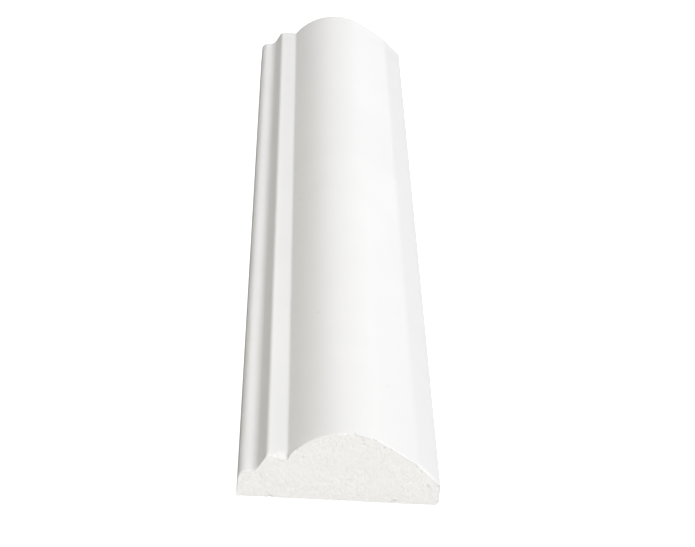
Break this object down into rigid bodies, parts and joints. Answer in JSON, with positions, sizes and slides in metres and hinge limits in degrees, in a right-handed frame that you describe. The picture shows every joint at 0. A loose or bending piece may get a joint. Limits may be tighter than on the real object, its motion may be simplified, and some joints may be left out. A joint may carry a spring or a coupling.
{
  "type": "skirting board moulding length",
  "caption": "Short square-cut length of white coated foam skirting moulding: a bead, a narrow ridge and a broad crown that falls to a thin toe, on a flat back.",
  "frame": {"origin": "middle of the flat back, halfway along the length and across the width", "axes": "+Z out of the flat back towards the moulded face, +Y along the length, +X across the width from the bead's edge to the toe's edge"},
  "size_m": [0.06, 0.35, 0.023],
  "materials": {
    "white_coat": "smooth satin white coat on the moulded faces and side edges",
    "foam_core": "rough off-white foam with fine saw marks and pores at the two cut ends and on the back"
  },
  "bodies": {
    "root": {"skirting_board": "white_coat"}
  },
  "joints": []
}
